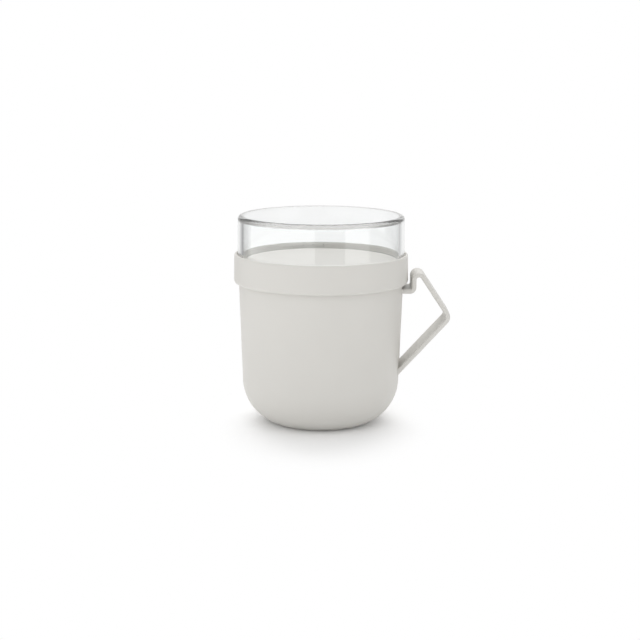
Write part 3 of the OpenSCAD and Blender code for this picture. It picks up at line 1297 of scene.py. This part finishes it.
@dataclass
class ScrewLid:
    """The lid: a skirt round the neck, a ring in the mouth, a panel, and a collar for the clear cup.

    Attributes:
        mug: The cup that it closes.
        bottom: Height of the skirt's lower edge.
        top: Height of the collar's crest.
        seal_top: Height of the top of the lid's seal.
        channel: Height of the channel's floor.
        radius: Outer radius at the lower edge.
        lean: Lean of the outer face, in degrees.
        lower_edge: Rounding of the lower outer edge.
        crest_edge: Rounding of the collar's outer edge.
        outer_steps: Number of faces round each of these two.
        skirt: Inner radius of the skirt.
        skirt_edge: Rounding of the skirt's lower inner edge.
        skirt_root: Rounding where the skirt meets the ledge above the neck.
        plug_thickness: Thickness of the ring that centres the lid in the mouth.
        plug_length: Length of that ring below the mug's rim.
        plug_play: Space between that ring and the mouth.
        plug_edge: Rounding of that ring's lower edges.
        plug_root: Rounding where that ring meets the panel.
        seal_grip: Depth of the groove that holds the lid's seal.
        seal_play: Space at each side of a seal.
        groove_root: Rounding of the two corners in the groove.
        groove_edge: Rounding of the groove's outer edge.
        panel: Height of the panel's upper face.
        panel_thickness: Thickness of the panel.
        panel_radius: Outer radius of the panel above the clear cup's channel.
        panel_edge: Rounding of the panel's upper edge.
        channel_root: Rounding of the two corners in the channel.
        collar: Inner radius of the collar.
        collar_edge: Rounding of the collar's inner edge.
        lid_seal_edge: Rounding of the edges of the lid's seal.
        cup_seal_edge: Rounding of the edges of the clear cup's seal.
    """

    mug: Mug
    bottom: float = low_of("screw_lid")
    top: float = high_of("screw_lid")
    seal_top: float = high_of("lid_seal")
    channel: float = low_of("cup_seal")
    radius: float = 53.6
    lean: float = 0.9
    lower_edge: float = 2.0
    crest_edge: float = 1.1
    outer_steps: int = 8
    skirt: float = 50.9
    skirt_edge: float = 0.45
    skirt_root: float = 0.25
    plug_thickness: float = 1.4
    plug_length: float = 2.5
    plug_play: float = 1.1
    plug_edge: float = 0.4
    plug_root: float = 0.5
    seal_grip: float = 0.7
    seal_play: float = 0.15
    groove_root: float = 0.15
    groove_edge: float = 0.2
    panel: float = 101.3
    panel_thickness: float = 2.0
    panel_radius: float = 47.44
    panel_edge: float = 0.35
    channel_root: float = 0.25
    collar: float = 52.0
    collar_edge: float = 0.18
    lid_seal_edge: float = 0.5
    cup_seal_edge: float = 0.3

    @property
    def plug(self) -> float:
        """The outer radius of the ring that centres the lid in the mouth."""
        return self.mug.mouth - self.plug_play

    def section(self) -> list[Corner]:
        """Lay the half section.

        Returns:
            Its corners, from the middle of the underside to the middle of the panel.
        """
        crown = self.radius - (self.top - self.bottom) * math.tan(math.radians(self.lean))
        under = self.panel - self.panel_thickness
        plug_inner = self.plug - self.plug_thickness
        plug_low = self.mug.rim - self.plug_length
        groove = reach_of("lid_seal") + self.seal_play
        ledge = self.seal_top - self.seal_grip
        return [
            Corner(0.0, under),
            Corner(plug_inner, under, self.plug_root),
            Corner(plug_inner, plug_low, self.plug_edge),
            Corner(self.plug, plug_low, self.plug_edge),
            Corner(self.plug, self.seal_top, self.groove_root),
            Corner(groove, self.seal_top, self.groove_root),
            Corner(groove, ledge, self.groove_edge),
            Corner(self.skirt, ledge, self.skirt_root),
            Corner(self.skirt, self.bottom, self.skirt_edge),
            Corner(self.radius, self.bottom, self.lower_edge, self.outer_steps),
            Corner(crown, self.top, self.crest_edge, self.outer_steps),
            Corner(self.collar, self.top, self.collar_edge),
            Corner(self.collar, self.channel, self.channel_root),
            Corner(self.panel_radius, self.channel, self.channel_root),
            Corner(self.panel_radius, self.panel, self.panel_edge),
            Corner(0.0, self.panel),
        ]

    def threads(self) -> tuple[Thread, Thread]:
        """Place the lid's two threads against the ones that they screw on.

        Returns:
            The skirt's thread, below the neck's, and the collar's, above the clear cup's.
        """
        neck = self.mug.thread()
        skirt = Thread(self.skirt, Side.INNER, neck.first - neck.ridge.pitch, neck.ridge)
        cup = ClearCup().thread()
        collar = Thread(self.collar, Side.INNER, cup.first + cup.ridge.pitch, cup.ridge)
        return skirt, collar

    def seals(self) -> tuple[Seal, Seal]:
        """Place the two seals that the lid holds.

        Returns:
            The lid's own seal, round its plug ring, and the clear cup's, in its channel.
        """
        channel = self.panel_radius + self.seal_play
        lid_seal = Seal("lid_seal", self.plug + self.seal_play, self.lid_seal_edge, Body.LID_SEAL)
        cup_seal = Seal("cup_seal", channel, self.cup_seal_edge, Body.CUP_SEAL)
        return lid_seal, cup_seal

    def build(self, workshop: Workshop, finish: SatinPlastic) -> bpy.types.Object:
        """Build and place the lid.

        Args:
            workshop: The trees that turn and thread it.
            finish: Its plastic.

        Returns:
            The finished piece.
        """
        material = finish.material()
        piece = workshop.turned("lid_shell", self.section(), material, threads=self.threads())
        place(piece, Body.LID, Slot.LID, "screw_lid")
        return piece


@dataclass
class ClearCup:
    """The clear cup, upside down: a flat top, a leaning wall and a threaded foot.

    Attributes:
        crown: Height of the flat top.
        foot: Height of the foot's lower edge.
        lid_top: Height of the lid's crest, where the wall's radius is given.
        radius: Outer radius of the wall at that height.
        lean: Lean of the wall, in degrees.
        wall: Thickness of the wall.
        top: Thickness of the flat top.
        outer_edge: Rounding of the outer edge of the top.
        outer_steps: Number of faces round it.
        inner_edge: Rounding of the inner edge of the top.
        inner_steps: Number of faces round it.
        foot_step: How far the foot stands back from the wall.
        step_edge: Rounding of that step's two corners.
        foot_edge: Rounding of the foot's lower edges.
        ridge: Shape of the foot's thread ridges.
        ridge_lift: Space between the foot's lower edge and a ridge's lower end.
        segments: Number of faces round the axis.
    """

    crown: float = high_of("clear_cup")
    foot: float = low_of("clear_cup")
    lid_top: float = high_of("screw_lid")
    radius: float = 51.3
    lean: float = 0.6
    wall: float = 3.4
    top: float = 3.2
    outer_edge: float = 2.4
    outer_steps: int = 10
    inner_edge: float = 0.3
    inner_steps: int = 8
    foot_step: float = 0.5
    step_edge: float = 0.12
    foot_edge: float = 0.3
    ridge: Ridge = CUP_RIDGE
    ridge_lift: float = 0.15
    segments: int = 256

    @property
    def foot_radius(self) -> float:
        """The outer radius of the foot."""
        return self.radius - self.foot_step

    def wall_radius(self, height: float) -> float:
        """Return the wall's outer radius at a height."""
        return self.radius - (height - self.lid_top) * math.tan(math.radians(self.lean))

    def inner_radius(self, height: float) -> float:
        """Return the wall's inner radius at a height."""
        return self.wall_radius(height) - self.wall / math.cos(math.radians(self.lean))

    def section(self) -> list[Corner]:
        """Lay the half section.

        Returns:
            Its corners, from the middle of the top, down to the foot and back inside.
        """
        ceiling = self.crown - self.top
        return [
            Corner(0.0, self.crown),
            Corner(self.wall_radius(self.crown), self.crown, self.outer_edge, self.outer_steps),
            Corner(self.radius, self.lid_top, self.step_edge),
            Corner(self.foot_radius, self.lid_top, self.step_edge),
            Corner(self.foot_radius, self.foot, self.foot_edge),
            Corner(self.inner_radius(self.foot), self.foot, self.foot_edge),
            Corner(self.inner_radius(ceiling), ceiling, self.inner_edge, self.inner_steps),
            Corner(0.0, ceiling),
        ]

    def thread(self) -> Thread:
        """Return the foot's thread."""
        first = self.foot + self.ridge.base / 2 + self.ridge_lift
        return Thread(self.foot_radius, Side.OUTER, first, self.ridge)

    def build(self, workshop: Workshop, finish: ClearPlastic) -> bpy.types.Object:
        """Build and place the clear cup.

        Args:
            workshop: The trees that turn and thread it.
            finish: Its plastic.

        Returns:
            The finished piece.
        """
        piece = workshop.turned(
            "topping_cup_clear",
            self.section(),
            finish.material(),
            threads=(self.thread(),),
            segments=self.segments,
        )
        place(piece, Body.TOPPING_CUP, Slot.CLEAR, "clear_cup")
        return piece


def seen_directly(graph: Graph) -> bpy.types.NodeSocket:
    """Tell what the camera sees, straight or through clear plastic, from what light reaches otherwise.

    Args:
        graph: The tree that asks.

    Returns:
        A socket that is 1 for what the camera sees, and else 0.
    """
    path = graph.add("ShaderNodeLightPath").outputs
    bounces = graph.math("ADD", path["Glossy Depth"], path["Diffuse Depth"])
    unbent = graph.math("LESS_THAN", bounces, NO_DEPTH)
    through = graph.math("MULTIPLY", path["Is Transmission Ray"], unbent)
    return graph.math("MAXIMUM", path["Is Camera Ray"], through)


@dataclass(frozen=True)
class SoftLamp:
    """A soft box at the side of the table, or above it.

    Attributes:
        name: Name of the lamp.
        azimuth: Where its middle stands, in degrees: 0 towards the camera, 90 towards the handle.
        elevation: Height of its middle above the horizontal, in degrees.
        distance: Distance from the mug, in metres.
        width: Width in metres.
        height: Height in metres.
        level: Brightness of its face, where 1 shows as white.
        lift: Height of the point that it faces, in metres.
    """

    name: str
    azimuth: float
    elevation: float
    distance: float
    width: float
    height: float
    level: float
    lift: float = 0.1

    def build(self) -> bpy.types.Object:
        """Make the lamp. A face of radiance L gives off L times its area times pi.

        Returns:
            The lamp.
        """
        lamp = bpy.data.lights.new(self.name, "AREA")
        lamp.shape = "RECTANGLE"
        lamp.size = self.width
        lamp.size_y = self.height
        lamp.energy = self.level * self.width * self.height * math.pi
        around = math.radians(self.azimuth)
        up = math.radians(self.elevation)
        out = Vector((math.sin(around) * math.cos(up), -math.cos(around) * math.cos(up), math.sin(up)))
        middle = out * self.distance + Vector((0.0, 0.0, self.lift))
        made = new_object(self.name, lamp)
        made.matrix_world = Matrix.LocRotScale(middle, out.to_track_quat("Z", "Y"), None)
        return made


@dataclass
class Studio:
    """A white table, soft lamps and a white background.

    Attributes:
        table_radius: Radius of the round table, in metres. Reflections in the clear cup pass its edge.
        table_sides: Number of straight edges round it.
        table_colour: How much light the table reflects.
        table_lift: Light that the camera sees on the table on top of that, near the mug.
        fade: Distances from the mug between which the table fades into the background, in metres.
        fade_aside: How many times sooner it fades to the left and to the right.
        seen_white: Brightness of the background that the camera sees, also through clear plastic.
        ambient: Light that comes from all sides.
        backdrop_reach: How far the white backdrop reaches to the left and to the right of the mug,
            in degrees, where reflections show it.
        backdrop_edge: Softness of the backdrop's edges, in degrees.
        backdrop_level: Brightness of the backdrop in reflections.
        beside: Brightness of the room to the left and to the right of the backdrop, in reflections.
        front: Brightness of the room in front of the mug, in reflections.
        front_half_angle: Half the angle of that darker part, in degrees.
        bounces: Most turns of one ray of light.
        clear_bounces: Most mirrorings of one ray, and most ways through clear surfaces.
        lamps: The soft lamps.
    """

    table_radius: float = 0.44
    table_sides: int = 96
    table_colour: float = 0.95
    table_lift: float = 0.04
    fade: tuple[float, float] = (0.052, 0.12)
    fade_aside: float = 1.7
    seen_white: float = 1.0
    ambient: float = 0.775
    backdrop_reach: tuple[float, float] = (29.0, 34.0)
    backdrop_edge: float = 9.0
    backdrop_level: float = 0.93
    beside: tuple[float, float] = (0.32, 0.45)
    front: float = 0.25
    front_half_angle: float = 75.0
    bounces: int = 24
    clear_bounces: int = 16
    lamps: tuple[SoftLamp, ...] = (
        SoftLamp(
            "left_card", azimuth=-62.5, elevation=-8.0, distance=1.1, width=2.97, height=0.34, level=1.06,
            lift=0.115,
        ),
        SoftLamp(
            "right_card", azimuth=50.9, elevation=-8.0, distance=1.3, width=0.86, height=0.40, level=1.12,
            lift=0.115,
        ),
        SoftLamp(
            "top_back", azimuth=180.0, elevation=55.0, distance=1.2, width=1.2, height=0.8, level=2.1
        ),
        SoftLamp(
            "top_front", azimuth=0.0, elevation=50.0, distance=1.3, width=1.2, height=0.8, level=0.33
        ),
        SoftLamp(
            "front_left", azimuth=-35.0, elevation=30.0, distance=1.3, width=0.8, height=0.8, level=0.45
        ),
    )

    def room(self, graph: Graph) -> bpy.types.NodeSocket:
        """Shade the room by direction, for reflections: a backdrop, two darker sides and the front.

        Args:
            graph: The world's tree.

        Returns:
            The socket of the room's brightness.
        """
        towards = graph.add("ShaderNodeTexCoord").outputs["Generated"]
        split = graph.add("ShaderNodeSeparateXYZ", {0: towards}).outputs
        aside = graph.math("ABSOLUTE", graph.math("ARCTAN2", split[0], split[1]))
        right = graph.math("GREATER_THAN", split[0], 0.0)
        left_reach, right_reach = (math.radians(reach) for reach in self.backdrop_reach)
        left_level, right_level = self.beside
        reach = graph.math("MULTIPLY_ADD", right, right_reach - left_reach, left_reach)
        sides = graph.math("MULTIPLY_ADD", right, right_level - left_level, left_level)
        beyond = graph.math("SUBTRACT", aside, reach)
        softness = math.radians(self.backdrop_edge)
        turned_away = math.pi - math.radians(self.front_half_angle)
        front = (turned_away - softness, turned_away + softness)
        beside = graph.ramp(aside, front, (sides, self.front))
        return graph.ramp(beyond, (-softness, softness), (self.backdrop_level, beside))

    def world(self) -> None:
        """Light the scene evenly, show white behind the object, and the room in reflections."""
        made = bpy.data.worlds.new("studio")
        made.use_nodes = True
        bpy.context.scene.world = made
        graph = Graph(made.node_tree)
        path = graph.add("ShaderNodeLightPath").outputs
        reflected = graph.math("MAXIMUM", path["Is Glossy Ray"], path["Is Transmission Ray"])
        soft = graph.mix(Mix.NUMBERS, reflected, self.ambient, self.room(graph))
        level = graph.mix(Mix.NUMBERS, seen_directly(graph), soft, self.seen_white)
        sky = graph.result("ShaderNodeBackground", {"Color": WHITE, "Strength": level})
        graph.add("ShaderNodeOutputWorld", {"Surface": sky})

    def paper(self) -> bpy.types.Material:
        """Make the table's white, which fades into the background away from the mug.

        Returns:
            The table's material.
        """
        material, graph = new_material("white_table")
        shade = self.table_colour
        matt = graph.result("ShaderNodeBsdfDiffuse", {"Color": (shade, shade, shade, 1.0)})
        stretch = {0: graph.coordinates(), 1: (self.fade_aside, 1.0, 1.0)}
        spot = graph.result("ShaderNodeVectorMath", stretch, operation="MULTIPLY")
        distance = graph.add("ShaderNodeVectorMath", {0: spot}, operation="LENGTH").outputs["Value"]
        fade = graph.ramp(distance, self.fade, (0.0, 1.0), interpolation_type="SMOOTHSTEP")
        direct = seen_directly(graph)
        strength = graph.math("MULTIPLY", direct, self.table_lift)
        glow = graph.result("ShaderNodeEmission", {"Color": WHITE, "Strength": strength})
        lit = graph.result("ShaderNodeAddShader", {0: matt, 1: glow})
        white = graph.result("ShaderNodeEmission", {"Color": WHITE, "Strength": self.seen_white})
        share = graph.math("MULTIPLY", direct, fade)
        shader = graph.result("ShaderNodeMixShader", {0: share, 1: lit, 2: white})
        graph.add("ShaderNodeOutputMaterial", {"Surface": shader})
        return material

    def table(self) -> bpy.types.Object:
        """Make the white table, which keeps the object's shadow.

        Returns:
            The table.
        """
        mesh = bpy.data.meshes.new("table")
        turns = [math.tau * i / self.table_sides for i in range(self.table_sides)]
        rim = [(self.table_radius * math.cos(a), self.table_radius * math.sin(a), 0.0) for a in turns]
        mesh.from_pydata(rim, [], [range(self.table_sides)])
        mesh.materials.append(self.paper())
        table = new_object("table", mesh)
        return table

    def build(self) -> None:
        """Make the background, the table and the lamps, and set how colour and light are worked out."""
        self.world()
        self.table()
        for lamp in self.lamps:
            lamp.build()
            LOG.info("%s at level %.2f", lamp.name, lamp.level)
        scene = bpy.context.scene
        scene.view_settings.view_transform = "Standard"
        scene.cycles.max_bounces = self.bounces
        scene.cycles.glossy_bounces = self.clear_bounces
        scene.cycles.transmission_bounces = self.clear_bounces


@dataclass(frozen=True)
class PhotoCamera:
    """The camera at the photograph's viewing angle.

    Attributes:
        lens: Focal length in millimetres.
        sensor: Width of the sensor, in millimetres.
        place: Its place, in metres.
        pitch: How far it looks down, in degrees.
        roll: Its turn about its own axis, in degrees.
        nearest: Distance at which it begins to see, in metres.
        farthest: Distance at which it ends to see, in metres.
    """

    lens: float = 85.0
    sensor: float = 36.0
    place: tuple[float, float, float] = (-0.00052, -0.920, 0.2398)
    pitch: float = 10.88
    roll: float = 0.23
    nearest: float = 0.01
    farthest: float = 20.0

    def build(self) -> bpy.types.Object:
        """Make the camera and let the scene look through it.

        Returns:
            The camera.
        """
        data = bpy.data.cameras.new("photo_camera")
        data.lens = self.lens
        data.sensor_width = self.sensor
        data.clip_start = self.nearest
        data.clip_end = self.farthest
        tilt = Matrix.Rotation(math.radians(90.0 - self.pitch), 4, "X")
        turn = Matrix.Rotation(math.radians(self.roll), 4, "Z")
        made = new_object("photo_camera", data)
        made.matrix_world = Matrix.Translation(self.place) @ tilt @ turn
        bpy.context.scene.camera = made
        return made


def main() -> None:
    """Build every sub-assembly, the studio and the camera."""
    logging.basicConfig(level=logging.INFO, format="%(name)s: %(message)s")
    PhotoCamera().build()
    workshop = Workshop()
    mug = Mug()
    mug.build(workshop, SatinPlastic("mug_satin"))
    lid = ScrewLid(mug)
    Handle(mug, lid.radius).build(SatinPlastic("handle_satin"))
    lid.build(workshop, SatinPlastic("lid_satin"))
    for seal in lid.seals():
        seal.build(workshop, Silicone(f"{seal.node}_silicone"))
    ClearCup().build(workshop, ClearPlastic("clear_plastic"))
    Studio().build()


if __name__ == "__main__":
    main()
